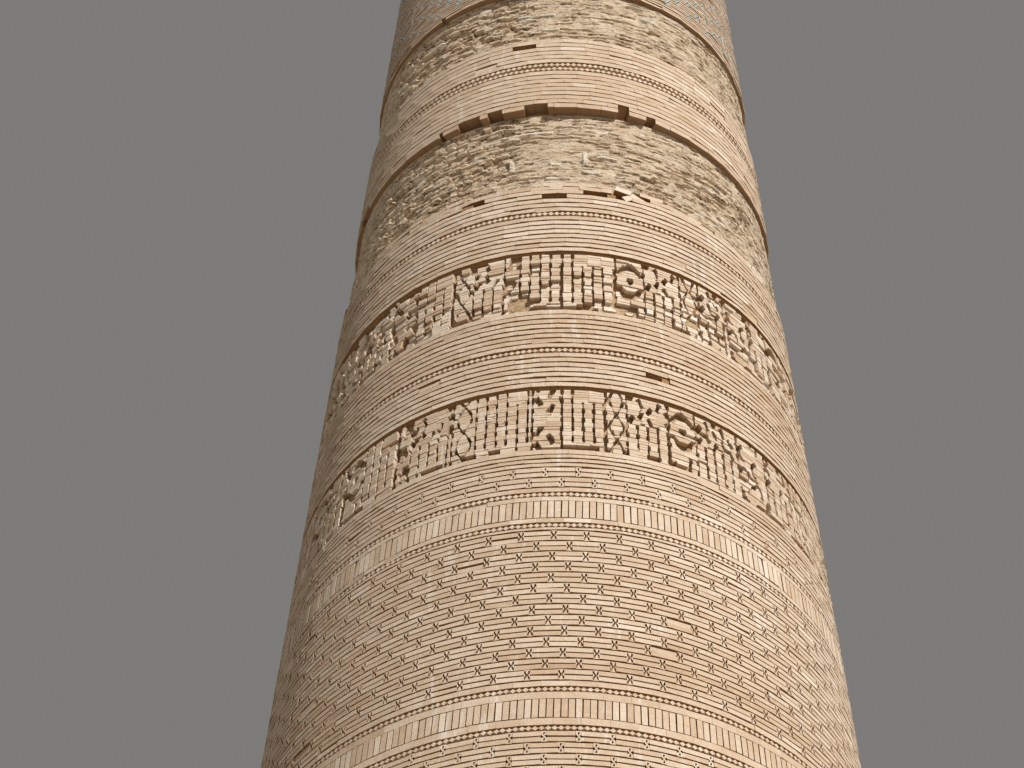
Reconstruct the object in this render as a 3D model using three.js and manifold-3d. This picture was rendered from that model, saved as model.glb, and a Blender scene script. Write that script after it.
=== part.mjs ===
// A tall, tapering round brick minaret, as a 1:2 scale model of the real building.
// Every length is in millimetres of the model, so it is half the real one. Z points up from the ground.
// The doorway faces -Y.
import * as THREE from "three";
import { mergeVertices } from "three/addons/utils/BufferGeometryUtils.js";
import Module from "manifold-3d";

// Driving dimensions of the whole tower
const HEIGHT = 29800;
const BASE_RADIUS = 3000;
const TAPER = 1 / 12;
const VOID_BASE_RADIUS = 1900;
const VOID_TAPER = 0.054;
const SIDES = 48;
const COURSE = 40;
const JOINT_GAP = 0.3;

// Ground floor: stone plinth, and the wall that the doorway is cut through
const PLINTH_TOP = 200;
const PLINTH_SETBACK = 20;
const DOOR_WIDTH = 560;
const DOOR_SPRING = 1200;
const DOOR_HEAD_RADIUS = 430;
const DOORWAY_TOP = 1900;

// The shaft from the ground floor to the lowest soldier band that the photograph shows
const SEEN_FROM = 17027;
const LOWER_BAND_HEIGHT = 300;
const LOWER_BANDS = 4;

// Levels of the stretch that the photograph shows
const SOLDIER_BAND_LOW_TOP = 17342;
const DIAPER_TOP = 18525;
const SOLDIER_BAND_HIGH_TOP = 18803;
const PLUG_COURSES_TOP = 19102;
const FRIEZE_LOW_TOP = 19655;
const PLAIN_LOW_TOP = 20272;
const FRIEZE_HIGH_TOP = 20825;
const PLAIN_HIGH_TOP = 21470;
const CORE_LOW_TOP = 22175;
const TOOTHED_TOP = 22850;
const CORE_HIGH_TOP = 23390;

// Where the facing has fallen, the rubble core stands back this far and is this uneven
const CORE_RECESS = 80;
const CORE_ROUGHNESS = 14;
const CORE_LAYER = 90;

// The shaft above the photograph, its gallery and its lantern
const TILE_TOP = 24600;
const UPPER_SHAFT_TOP = 25900;
const UPPER_BAND_TOP = 26200;
const NECK_TOP = 27100;
const CORBEL_STEPS = 4;
const CORBEL_STEP_HEIGHT = 80;
const CORBEL_STEP_REACH = 60;
const DECK_THICKNESS = 60;
const DECK_REACH = 20;
const LANTERN_RADIUS = 620;
const LANTERN_VOID_RADIUS = 430;
const LANTERN_OPENING = 380;
const LANTERN_PIER_HEIGHT = 820;
const LANTERN_HEAD_RADIUS = 270;
const LANTERN_RING_HEIGHT = 420;
const DOME_THICKNESS = 110;

const BRICK = { color: 0xc2a27c, roughness: 0.95, metalness: 0 };
const PALE_BRICK = { color: 0xcbb08c, roughness: 0.95, metalness: 0 };
const CARVED_BRICK = { color: 0xb9986f, roughness: 0.95, metalness: 0 };
const RUBBLE = { color: 0xa39077, roughness: 1, metalness: 0 };
const STONE = { color: 0xa69a88, roughness: 0.9, metalness: 0 };
const TIMBER = { color: 0x6b4f38, roughness: 0.85, metalness: 0 };

const wasm = await Module();
wasm.setup();
const minaret = new THREE.Group();

function wallRadius(z) {
  return BASE_RADIUS - z * TAPER;
}

function voidRadius(z) {
  return VOID_BASE_RADIUS - z * VOID_TAPER;
}

function toSolid(geometry) {
  const bare = geometry.clone();
  bare.deleteAttribute("normal");
  bare.deleteAttribute("uv");
  const merged = mergeVertices(bare, 1e-3);
  return new wasm.Manifold(
    new wasm.Mesh({
      numProp: 3,
      vertProperties: merged.attributes.position.array,
      triVerts: new Uint32Array(merged.index.array),
    }),
  );
}

function toGeometry(solid) {
  const made = solid.getMesh();
  const geometry = new THREE.BufferGeometry();
  geometry.setAttribute("position", new THREE.BufferAttribute(made.vertProperties, 3));
  geometry.setIndex(new THREE.BufferAttribute(made.triVerts, 1));
  geometry.computeVertexNormals();
  return geometry;
}

function place(name, geometry, finish) {
  const mesh = new THREE.Mesh(geometry, new THREE.MeshStandardMaterial(finish));
  mesh.name = name;
  minaret.add(mesh);
}

// A ring turned round the tower's axis. The outline runs up the outside, and the void is on the inside.
function turned(outside, insideLow, insideHigh) {
  const low = outside[0];
  const high = outside[outside.length - 1];
  const outline = [
    ...outside,
    new THREE.Vector2(insideHigh, high.y),
    new THREE.Vector2(insideLow, low.y),
    low,
  ];
  const geometry = new THREE.LatheGeometry(outline, SIDES);
  geometry.rotateX(Math.PI / 2);
  return geometry;
}

// One drum of the tapering shaft between two levels
function drum(low, high, setback = 0) {
  const outside = [
    new THREE.Vector2(wallRadius(low) - setback, low),
    new THREE.Vector2(wallRadius(high) - setback, high),
  ];
  return turned(outside, voidRadius(low), voidRadius(high));
}

// A drum whose facing has fallen: thin uneven layers, pushed in and out round the tower
function ruinedDrum(low, high) {
  const layers = Math.round((high - low) / CORE_LAYER);
  const outside = [];
  for (let i = 0; i <= layers; i++) {
    const z = low + ((high - low) * i) / layers;
    outside.push(new THREE.Vector2(wallRadius(z) - CORE_RECESS, z));
  }
  const geometry = turned(outside, voidRadius(low), voidRadius(high));
  const position = geometry.attributes.position;
  for (let i = 0; i < position.count; i++) {
    const x = position.getX(i);
    const y = position.getY(i);
    const z = position.getZ(i);
    const radius = Math.hypot(x, y);
    const turn = Math.round((Math.atan2(y, x) / (2 * Math.PI)) * SIDES + SIDES) % SIDES;
    const angle = (turn / SIDES) * 2 * Math.PI;
    const layer = Math.round(((z - low) / (high - low)) * layers);
    if (radius > voidRadius(z) + 1 && layer > 0 && layer < layers) {
      const wave = Math.sin(5 * angle + 1.7 * layer) + Math.sin(11 * angle - 2.3 * layer);
      const pushed = radius + (CORE_ROUGHNESS * wave) / 2;
      position.setXY(i, pushed * Math.cos(angle), pushed * Math.sin(angle));
    }
  }
  return geometry;
}

// The part of a ring between two angles, kept half a joint gap clear of each cut
function segment(ring, from, to) {
  const half = (to - from) / 2;
  const middle = (to + from) / 2;
  const reach = 3 * BASE_RADIUS;
  const tip = JOINT_GAP / 2 / Math.sin(half);
  const wedge = new THREE.Shape();
  wedge.moveTo(tip * Math.cos(middle), tip * Math.sin(middle));
  for (const angle of [from, middle, to]) {
    wedge.lineTo(
      tip * Math.cos(middle) + reach * Math.cos(angle),
      tip * Math.sin(middle) + reach * Math.sin(angle),
    );
  }
  wedge.closePath();
  const prism = new THREE.ExtrudeGeometry(wedge, { depth: HEIGHT, bevelEnabled: false });
  return toSolid(ring).intersect(toSolid(prism));
}

// A passage with a pointed head, cut level along -Y and then turned round the axis.
// The head is two arcs that spring from the jambs and meet at the point.
function passage(width, floor, spring, headRadius, near, far, turn) {
  const half = width / 2;
  const centre = headRadius - half;
  const rise = Math.acos(centre / headRadius);
  const outline = new THREE.Shape();
  outline.moveTo(-half, floor);
  outline.lineTo(half, floor);
  outline.lineTo(half, spring);
  outline.absarc(-centre, spring, headRadius, 0, rise, false);
  outline.absarc(centre, spring, headRadius, Math.PI - rise, Math.PI, false);
  outline.closePath();
  const tunnel = new THREE.ExtrudeGeometry(outline, {
    depth: far - near,
    bevelEnabled: false,
    curveSegments: 6,
  });
  tunnel.rotateX(Math.PI / 2);
  tunnel.translate(0, -near, 0);
  tunnel.rotateZ(turn);
  return toSolid(tunnel);
}

// A bite out of the facing where bricks have fallen from a broken edge
function bite(angle, width, low, high, depth) {
  const radius = wallRadius(low);
  const box = new THREE.BoxGeometry(2 * depth, width, high - low);
  box.translate(radius, 0, (low + high) / 2);
  box.rotateZ(angle);
  return toSolid(box);
}

// Bites spaced round an edge, each a whole number of bricks wide and one or two courses high
function brokenEdge(geometry, level, direction, count) {
  let solid = toSolid(geometry);
  for (let i = 0; i < count; i++) {
    const angle = ((i + 0.3 * Math.sin(2.4 * i)) / count) * 2 * Math.PI;
    const width = 3 * COURSE * (2 + (i % 3));
    const height = COURSE * (1 + ((i * 2) % 3 === 0 ? 1 : 0));
    const low = direction > 0 ? level : level - height;
    solid = solid.subtract(bite(angle, width, low, low + height, CORE_RECESS));
  }
  return toGeometry(solid);
}

function plinth() {
  const outline = [
    new THREE.Vector2(0, 0),
    new THREE.Vector2(BASE_RADIUS, 0),
    new THREE.Vector2(BASE_RADIUS, PLINTH_TOP),
    new THREE.Vector2(0, PLINTH_TOP),
  ];
  const geometry = new THREE.LatheGeometry(outline, SIDES);
  geometry.rotateX(Math.PI / 2);
  place("plinth", geometry, STONE);
}

// The ground-floor wall is four quarters up to the springing, with the doorway between two of them.
// Above, one segment holds the pointed door head, and two more close the ring.
function groundFloor() {
  const wall = drum(PLINTH_TOP, DOOR_SPRING, PLINTH_SETBACK);
  const head = drum(DOOR_SPRING, DOORWAY_TOP, PLINTH_SETBACK);
  const doorway = passage(
    DOOR_WIDTH,
    PLINTH_TOP - COURSE,
    DOOR_SPRING,
    DOOR_HEAD_RADIUS,
    VOID_BASE_RADIUS / 2,
    BASE_RADIUS + COURSE,
    0,
  );
  const front = (3 * Math.PI) / 2;
  const back = Math.PI / 2;
  const archHalf = Math.PI / 6;
  const parts = [
    ["wall_back_right", wall, 0, back],
    ["wall_back_left", wall, back, Math.PI],
    ["wall_front_left", wall, Math.PI, front],
    ["wall_front_right", wall, front, 2 * Math.PI],
    ["door_arch", head, front - archHalf, front + archHalf],
    ["upper_wall_left", head, back, front - archHalf],
    ["upper_wall_right", head, front + archHalf, back + 2 * Math.PI],
  ];
  for (const [name, ring, from, to] of parts) {
    place(name, toGeometry(segment(ring, from, to).subtract(doorway)), BRICK);
  }
}

// Plain-coursed drums with a soldier band between each two, up to the seen stretch
function lowerShaft() {
  const drums = LOWER_BANDS + 1;
  const drumHeight = (SEEN_FROM - DOORWAY_TOP - LOWER_BANDS * LOWER_BAND_HEIGHT) / drums;
  let z = DOORWAY_TOP;
  for (let i = 1; i <= drums; i++) {
    const top = i === drums ? SEEN_FROM : Math.round(z + drumHeight);
    place("shaft_drum_" + i, drum(z, top), BRICK);
    if (i < drums) {
      place("shaft_band_" + i, drum(top, top + LOWER_BAND_HEIGHT), PALE_BRICK);
    }
    z = top + LOWER_BAND_HEIGHT;
  }
}

// The stretch that the photograph shows, from the lower soldier band to the upper rubble core
function seenShaft() {
  place("soldier_band_low", drum(SEEN_FROM, SOLDIER_BAND_LOW_TOP), PALE_BRICK);
  place("diaper_drum", drum(SOLDIER_BAND_LOW_TOP, DIAPER_TOP), BRICK);
  place("soldier_band_high", drum(DIAPER_TOP, SOLDIER_BAND_HIGH_TOP), PALE_BRICK);
  place("plug_courses", drum(SOLDIER_BAND_HIGH_TOP, PLUG_COURSES_TOP), BRICK);
  place("frieze_low", drum(PLUG_COURSES_TOP, FRIEZE_LOW_TOP), CARVED_BRICK);
  place("plain_drum_low", drum(FRIEZE_LOW_TOP, PLAIN_LOW_TOP), BRICK);
  place("frieze_high", drum(PLAIN_LOW_TOP, FRIEZE_HIGH_TOP), CARVED_BRICK);
  const plainHigh = drum(FRIEZE_HIGH_TOP, PLAIN_HIGH_TOP);
  place("plain_drum_high", brokenEdge(plainHigh, PLAIN_HIGH_TOP, -1, 9), BRICK);
  place("rubble_core_low", ruinedDrum(PLAIN_HIGH_TOP, CORE_LOW_TOP), RUBBLE);
  const toothed = drum(CORE_LOW_TOP, TOOTHED_TOP);
  place("toothed_drum", brokenEdge(toothed, CORE_LOW_TOP, 1, 13), BRICK);
  place("rubble_core_high", ruinedDrum(TOOTHED_TOP, CORE_HIGH_TOP), RUBBLE);
}

function upperShaft() {
  const tiled = drum(CORE_HIGH_TOP, TILE_TOP);
  place("tile_inlay_drum", brokenEdge(tiled, CORE_HIGH_TOP, 1, 11), PALE_BRICK);
  place("upper_shaft_drum", drum(TILE_TOP, UPPER_SHAFT_TOP), BRICK);
  place("soldier_band_top", drum(UPPER_SHAFT_TOP, UPPER_BAND_TOP), PALE_BRICK);
  place("shaft_neck", drum(UPPER_BAND_TOP, NECK_TOP), BRICK);
}

// Stepped brick corbels carry a round timber deck, open at the centre over the shaft
function gallery() {
  const outside = [new THREE.Vector2(wallRadius(NECK_TOP), NECK_TOP)];
  for (let i = 1; i <= CORBEL_STEPS; i++) {
    const radius = wallRadius(NECK_TOP) + i * CORBEL_STEP_REACH;
    const low = NECK_TOP + (i - 1) * CORBEL_STEP_HEIGHT;
    outside.push(new THREE.Vector2(radius, low + 1));
    outside.push(new THREE.Vector2(radius, low + CORBEL_STEP_HEIGHT));
  }
  place("corbel_cornice", turned(outside, voidRadius(NECK_TOP), LANTERN_VOID_RADIUS), BRICK);
  const deckRadius = wallRadius(NECK_TOP) + CORBEL_STEPS * CORBEL_STEP_REACH + DECK_REACH;
  const low = deckLevel() - DECK_THICKNESS;
  const edge = [new THREE.Vector2(deckRadius, low), new THREE.Vector2(deckRadius, deckLevel())];
  place("gallery_deck", turned(edge, LANTERN_VOID_RADIUS, LANTERN_VOID_RADIUS), TIMBER);
}

function deckLevel() {
  return NECK_TOP + CORBEL_STEPS * CORBEL_STEP_HEIGHT + DECK_THICKNESS;
}

// Four piers with arched openings between them, a ring that holds the arch heads, and a pointed dome
function lantern() {
  const floor = deckLevel();
  const spring = floor + LANTERN_PIER_HEIGHT;
  const ringTop = spring + LANTERN_RING_HEIGHT;
  const pierRing = [
    new THREE.Vector2(LANTERN_RADIUS, floor),
    new THREE.Vector2(LANTERN_RADIUS, spring),
  ];
  const headRing = [
    new THREE.Vector2(LANTERN_RADIUS, spring),
    new THREE.Vector2(LANTERN_RADIUS, ringTop),
  ];
  const piers = turned(pierRing, LANTERN_VOID_RADIUS, LANTERN_VOID_RADIUS);
  let heads = toSolid(turned(headRing, LANTERN_VOID_RADIUS, LANTERN_VOID_RADIUS));
  const openings = [];
  for (let i = 0; i < 4; i++) {
    const opening = passage(
      LANTERN_OPENING,
      floor - COURSE,
      spring,
      LANTERN_HEAD_RADIUS,
      LANTERN_VOID_RADIUS / 2,
      LANTERN_RADIUS + COURSE,
      (i * Math.PI) / 2,
    );
    openings.push(opening);
    heads = heads.subtract(opening);
  }
  for (let i = 0; i < 4; i++) {
    const from = (i * Math.PI) / 2;
    let pier = segment(piers, from, from + Math.PI / 2);
    for (const opening of openings) {
      pier = pier.subtract(opening);
    }
    place("lantern_pier_" + (i + 1), toGeometry(pier), BRICK);
  }
  place("lantern_arches", toGeometry(heads), BRICK);
  place("lantern_dome", dome(ringTop), PALE_BRICK);
}

// The dome's half section is one arc from the ring to the point, centred beyond the axis on the springing
function dome(springing) {
  const rise = HEIGHT - springing;
  const outerArc = (rise * rise + LANTERN_RADIUS * LANTERN_RADIUS) / (2 * LANTERN_RADIUS);
  const innerRadius = LANTERN_RADIUS - DOME_THICKNESS;
  const innerRise = rise - 1.5 * DOME_THICKNESS;
  const innerArc = (innerRise * innerRise + innerRadius * innerRadius) / (2 * innerRadius);
  const steps = 7;
  const outline = [];
  for (let i = 0; i <= steps; i++) {
    const z = (rise * i) / steps;
    const radius = LANTERN_RADIUS - outerArc + Math.sqrt(outerArc * outerArc - z * z);
    outline.push(new THREE.Vector2(i === steps ? 0 : radius, springing + z));
  }
  for (let i = steps; i >= 0; i--) {
    const z = (innerRise * i) / steps;
    const radius = innerRadius - innerArc + Math.sqrt(innerArc * innerArc - z * z);
    outline.push(new THREE.Vector2(i === steps ? 0 : radius, springing + z));
  }
  outline.push(outline[0]);
  const geometry = new THREE.LatheGeometry(outline, SIDES / 2);
  geometry.rotateX(Math.PI / 2);
  return geometry;
}

plinth();
groundFloor();
lowerShaft();
seenShaft();
upperShaft();
gallery();
lantern();

export default minaret;
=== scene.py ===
"""Round brick minaret, a 1:2 scale model, dressed brick by brick.

Every length is in metres of the model, so it is half the real one. Angle 0 faces -Y, the side that the
photograph shows, and angles grow towards +X. A level is a height above the ground, and a depth is how
far something lies behind the face of the wall.
"""
import math

import bpy
import numpy as np
from mathutils import Matrix, Vector


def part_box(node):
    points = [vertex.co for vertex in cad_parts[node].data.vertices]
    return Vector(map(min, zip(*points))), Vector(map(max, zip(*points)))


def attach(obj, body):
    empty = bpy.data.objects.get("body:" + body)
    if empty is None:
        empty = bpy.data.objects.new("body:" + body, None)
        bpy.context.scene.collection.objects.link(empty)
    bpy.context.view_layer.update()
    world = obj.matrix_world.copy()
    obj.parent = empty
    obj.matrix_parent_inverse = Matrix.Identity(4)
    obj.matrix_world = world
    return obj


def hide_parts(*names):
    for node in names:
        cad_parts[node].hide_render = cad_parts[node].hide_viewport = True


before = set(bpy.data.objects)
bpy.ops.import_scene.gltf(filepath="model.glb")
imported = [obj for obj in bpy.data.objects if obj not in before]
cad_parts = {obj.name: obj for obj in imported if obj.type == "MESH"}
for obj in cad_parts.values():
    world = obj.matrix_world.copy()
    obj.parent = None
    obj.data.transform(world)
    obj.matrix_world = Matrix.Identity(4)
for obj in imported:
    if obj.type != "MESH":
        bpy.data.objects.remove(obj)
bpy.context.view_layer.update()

# The tower's form
FULL_TURN = 2 * math.pi
BASE_RADIUS = 3.0
TAPER = 1 / 12
VOID_BASE_RADIUS = 1.9
VOID_TAPER = 0.054
DOOR_HALF_WIDTH = 0.28
DOOR_SPRING = 1.2
DOOR_HEAD_RADIUS = 0.43

# Courses, joints and bricks
COURSE = 0.040
BED_JOINT = 0.0114
HIGH_BED_JOINT = 0.0070
THIN_JOINTS_FROM = 20.9
THIN_JOINTS_FULL = 22.2
HEAD_JOINT = 0.0008
JOINT_DEPTH = 0.013
BRICK_PITCH = 0.1325
BRICK_DEPTH = 0.050
EDGE_GAP = 0.002

# Cut plugs between brick ends
PLUG_PITCH = 0.159
PLUG_GAP = 0.028
PLUG_SHARE = 0.46
PLUG_DEPTH = 0.030
DIAPER_ROWS = 14
DIAPER_ROW = 0.07985
DIAPER_FOOT = 0.042
HOOK_ROW = 0.0799
HOOK_FOOT = 0.037
TILE_ROW = 0.069
TILE_COURSES = 3
TILE_BED = 1.5
TILE_PLUGS = 42
TILE_GAP = 0.038

# Toothed rows and upright bricks
TOOTH_PITCH = 0.0300
TOOTH_DEPTH = 0.015
# Painted shade at the back of the teeth's sides, lighter than in other joints
TOOTH_SIDE_SHADE = 0.035
TOOTH_HALF_HEIGHT = 0.0150
SOLDIER_PITCH = 0.0340
SOLDIER_HEIGHT = 0.128
SOLDIER_JOINT = 0.0052

# Broken edges, missing bricks and the bare core
OVERHANG = 0.080
SEEN_HALF = 0.95
SHORTEST_LEFT = 0.02
POCKET_DEPTH = 0.060
STEP_SLOPE = 0.0005
LOOSE_HALF_LENGTH = 0.044
LOOSE_TONE = 0.7
LOW_CORE_DEPTH = 0.060
HIGH_CORE_DEPTH = 0.046
CORE_ROW = 0.0078
CORE_COURSE = 0.034
CORE_SHORTEST = 0.05
CORE_LONGER = 0.06
SLAB_STANDS = 0.010
HOLE_DEPTH = 0.040
PALE = 1.4

# Friezes
FRIEZE_COURSES = 14
FRIEZE_JOINT = 0.0042
RELIEF_DEPTH = 0.038
RELIEF_TOP_GAP = 0.026
RELIEF_GROOVE = 0.0064
RELIEF_STRETCH = 0.5
SHORTEST_CUT = 0.010
CUT_LENGTH = 0.075
CUT_DEPTH = 0.046
# Painted shade at the back of the frieze bricks' sides, lighter than in other joints
RELIEF_SIDE_SHADE = 0.05
EMPTY_CELL = 0.02

# Plain rings, plinth and deck
SHELL_SIDES = 144
COURSED_SIDES = 84
WALL_COLUMNS = 110
PLINTH_BLOCKS = 44
BOARD_WIDTH = 0.09

SEED = 7

# Camera, lamp, studio light and floor, with angles in degrees
CAMERA_PLACE = (0, -17.942, 0.8)
CAMERA_TURN = -0.862
CAMERA_CLIMB = 48.691
CAMERA_ROLL = 0.785
FOCAL_PIXELS = 5036
IMAGE_WIDTH = 1024
LAMP_AZIMUTH = 33
LAMP_HEIGHT = 38
LAMP_WIDTH = 3
LAMP_STRENGTH = 4.55
LAMP_COLOUR = (1.0, 0.96, 0.91)
STUDIO_STRENGTH = 0.235
STUDIO_COLOUR = (0.87, 0.85, 0.82, 1)
FLOOR_REACH = 60.0
FLOOR_COLOUR = (0.50, 0.45, 0.38, 1)


def in_scene(name, data):
    """A new object for a mesh, a camera or a lamp, linked to the scene."""
    made = bpy.data.objects.new(name, data)
    bpy.context.scene.collection.objects.link(made)
    return made


def place_camera():
    """A camera on the ground that looks steeply up. Its axes come from its turn, climb and roll: the
    view direction from turn and climb, level right, their cross product up, and then a roll of both."""
    turn, climb, roll = (math.radians(angle) for angle in (CAMERA_TURN, CAMERA_CLIMB, CAMERA_ROLL))
    forward = Vector((math.sin(turn) * math.cos(climb), math.cos(turn) * math.cos(climb), math.sin(climb)))
    level_right = Vector((math.cos(turn), -math.sin(turn), 0))
    level_up = level_right.cross(forward)
    right = math.cos(roll) * level_right + math.sin(roll) * level_up
    up = -math.sin(roll) * level_right + math.cos(roll) * level_up
    data = bpy.data.cameras.new("camera")
    data.sensor_fit = "HORIZONTAL"
    data.sensor_width = 36
    data.lens = FOCAL_PIXELS / IMAGE_WIDTH * data.sensor_width
    data.clip_end = 500
    camera = in_scene("camera", data)
    rotation = Matrix((right, up, -forward)).transposed().to_4x4()
    camera.matrix_world = Matrix.Translation(CAMERA_PLACE) @ rotation
    bpy.context.scene.camera = camera


def light_scene():
    """A broad key lamp from high on the right, and pale studio light all round."""
    data = bpy.data.lights.new("key", "SUN")
    data.energy = LAMP_STRENGTH
    data.angle = math.radians(LAMP_WIDTH)
    data.color = LAMP_COLOUR
    azimuth = math.radians(LAMP_AZIMUTH)
    height = math.radians(LAMP_HEIGHT)
    across = math.cos(height)
    towards = Vector((math.sin(azimuth) * across, -math.cos(azimuth) * across, math.sin(height)))
    in_scene("key", data).rotation_euler = towards.to_track_quat("Z", "Y").to_euler()
    world = bpy.data.worlds.new("pale_studio")
    world.use_nodes = True
    background = world.node_tree.nodes["Background"]
    background.inputs["Color"].default_value = STUDIO_COLOUR
    background.inputs["Strength"].default_value = STUDIO_STRENGTH
    bpy.context.scene.world = world
    bpy.context.scene.view_settings.view_transform = "Standard"


def lay_floor():
    """A plain pale square floor round the tower's foot."""
    corners = [(-FLOOR_REACH, -FLOOR_REACH, 0), (FLOOR_REACH, -FLOOR_REACH, 0),
               (FLOOR_REACH, FLOOR_REACH, 0), (-FLOOR_REACH, FLOOR_REACH, 0)]
    mesh = bpy.data.meshes.new("floor")
    mesh.from_pydata(corners, [], [(0, 1, 2, 3)])
    pale = bpy.data.materials.new("pale_floor")
    pale.use_nodes = True
    pale.node_tree.nodes["Principled BSDF"].inputs["Base Color"].default_value = FLOOR_COLOUR
    mesh.materials.append(pale)
    in_scene("floor", mesh)


def level_range(node):
    """The lowest and highest level of a CAD node."""
    low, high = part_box(node)
    return round(low[2], 4), round(high[2], 4)


def wall_radius(level):
    """The wall's outer radius: the base radius less a twelfth of the level."""
    return BASE_RADIUS - TAPER * level


def void_radius(level):
    """The radius of the hollow inside: the base void less its own taper times the level."""
    return VOID_BASE_RADIUS - VOID_TAPER * level


def on_ring(angle, radius, level):
    """Points on a ring: x is radius times the sine of the angle, and y is minus radius times its cosine."""
    return np.stack([radius * np.sin(angle), -radius * np.cos(angle), level], axis=-1)


def bed_joint(level):
    """Height of the bed joints, which are thinner in the upper drums."""
    return float(np.interp(level, [THIN_JOINTS_FROM, THIN_JOINTS_FULL], [BED_JOINT, HIGH_BED_JOINT]))


def hashed(*keys):
    """A repeatable number from 0 to 1 for whole-number keys: the fraction of a large sine."""
    weights = (12.9898, 78.233, 37.719)
    total = sum(np.asarray(key, dtype=float) * weight for key, weight in zip(keys, weights))
    return np.modf(np.abs(np.sin(total) * 43758.5453))[0]


def smooth_noise(angle, level, around, up, salt=0):
    """Value noise that closes round the tower: random heights at cell corners, blended by the
    smoothstep of the position inside the cell. around is the number of cells in a full turn, and up
    is the number of cells in a metre."""
    u = (angle / FULL_TURN % 1.0) * around
    v = level * up
    column = np.floor(u)
    row = np.floor(v)
    across = u - column
    along = v - row
    across = across * across * (3 - 2 * across)
    along = along * along * (3 - 2 * along)
    right = (column + 1) % around
    lower = hashed(column % around, row, salt) * (1 - across) + hashed(right, row, salt) * across
    upper = hashed(column % around, row + 1, salt) * (1 - across) + hashed(right, row + 1, salt) * across
    return lower * (1 - along) + upper * along


def sag(angle, level):
    """How far a course dips from level, hand laid: three slow waves round the tower, 2 mm at most."""
    return (0.0010 * np.sin(3 * angle + 0.9 * level) + 0.0006 * np.sin(8 * angle - 2.1 * level)
            + 0.0004 * np.sin(17 * angle + 3.3 * level))


def chance(name):
    """A random generator of its own for each piece, seeded from its name."""
    return np.random.default_rng([SEED, *name.encode()])


class Heap:
    """Points, faces, tones and painted shade gathered for one mesh. Tone is light or dark, from 0 to 1, or
    the number of the course on a shell built in courses. The painted shade is 0 on a face and 1 deep in a
    joint, where the material darkens bricks' sides as if shade fell there."""

    def __init__(self):
        self.points = []
        self.faces = []
        self.tones = []
        self.painted_shades = []
        self.count = 0

    def add(self, points, faces, tone, painted_shade):
        """Adds points, faces given as whole arrays of point numbers, and a tone and painted shade for each
        point.
        """
        points = points.reshape(-1, 3)
        self.points.append(points)
        self.tones.append(np.broadcast_to(tone, (len(points),)))
        self.painted_shades.append(np.broadcast_to(painted_shade, (len(points),)))
        for face in faces:
            self.faces.append(face + self.count)
        self.count += len(points)

    def piece(self, name, material, slot, *nodes):
        """Puts the arrays into one mesh object, which rides on the tower and may stand for CAD nodes.
        Edges sharper than half a radian stay sharp, and the rest are shaded smooth."""
        points = np.concatenate(self.points)
        corners = np.concatenate([face.ravel() for face in self.faces]).astype(np.int32)
        sizes = np.concatenate([np.full(len(face), face.shape[1]) for face in self.faces])
        starts = np.concatenate([[0], np.cumsum(sizes)[:-1]]).astype(np.int32)
        mesh = bpy.data.meshes.new(name)
        mesh.vertices.add(len(points))
        mesh.vertices.foreach_set("co", points.astype(np.float32).ravel())
        mesh.loops.add(len(corners))
        mesh.loops.foreach_set("vertex_index", corners)
        mesh.polygons.add(len(sizes))
        mesh.polygons.foreach_set("loop_start", starts)
        mesh.update(calc_edges=True)
        mesh.set_sharp_from_angle(angle=0.5)
        # Tone, and the painted shade that darkens bricks' sides deep in joints, kept on the points
        for label, values in (("tone", self.tones), ("painted_shade", self.painted_shades)):
            attribute = mesh.attributes.new(label, "FLOAT", "POINT")
            attribute.data.foreach_set("value", np.concatenate(values).astype(np.float32))
        mesh.materials.append(material)
        piece = in_scene(name, mesh)
        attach(piece, "root")
        if nodes:
            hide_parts(*nodes)


BOX_SIDES = np.array([[0, 1, 2, 3], [5, 4, 7, 6], [4, 5, 1, 0], [3, 2, 6, 7], [4, 0, 3, 7], [1, 5, 6, 2]])


def front_and_back(angles, levels, front, back):
    """Points of bricks, a row for each: its corners at the front radii, then the same at the back radii."""
    return on_ring(np.tile(angles, (1, 2)), np.concatenate([front, back], axis=1), np.tile(levels, (1, 2)))


def lay_blocks(heap, angles, levels, face, depth, tone, deep_shade=1.0):
    """Bricks as closed boxes. angles and levels hold the four front corners of each brick, from the low
    left one anticlockwise. The front corners stand at the wall radius of their level plus face, and the
    four back corners lie depth further in, with the deep painted shade on them, which the sides darken to
    towards the back."""
    front = wall_radius(levels) + face
    back = wall_radius(levels) + np.mean(face, axis=1, keepdims=True) - depth
    points = front_and_back(angles, levels, front, back)
    sides = (BOX_SIDES[None] + 8 * np.arange(len(angles))[:, None, None]).reshape(-1, 4)
    painted_shade = np.tile(np.repeat([0, deep_shade], 4), len(angles))
    heap.add(points, [sides], np.repeat(tone, 8), painted_shade)


def worn_face(rng, count, spread=0.0007):
    """Offsets of the four front corners: each brick set in or out a little, tilted less, and a few with
    one corner knocked back."""
    face = rng.normal(0, spread, (count, 1)) + rng.normal(0, spread * 0.5, (count, 4))
    chipped = rng.random(count) < 0.05
    corner = rng.integers(0, 4, count)
    face[np.flatnonzero(chipped), corner[chipped]] -= rng.uniform(0.002, 0.007, chipped.sum())
    face[rng.random(count) < 0.006] -= 0.006
    return np.clip(face - spread, -0.02, 0.0)


def brick_tone(rng, count):
    """One tone for each brick: near the tone of their course, with a few pale and a few dark bricks."""
    tone = rng.normal(0.5, 0.04, count) + rng.normal(0, 0.03)
    odd = rng.random(count)
    tone = np.where(odd < 0.03, tone - 0.12, tone)
    tone = np.where(odd > 0.97, tone + 0.14, tone)
    return np.clip(tone, 0, 1)


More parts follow.
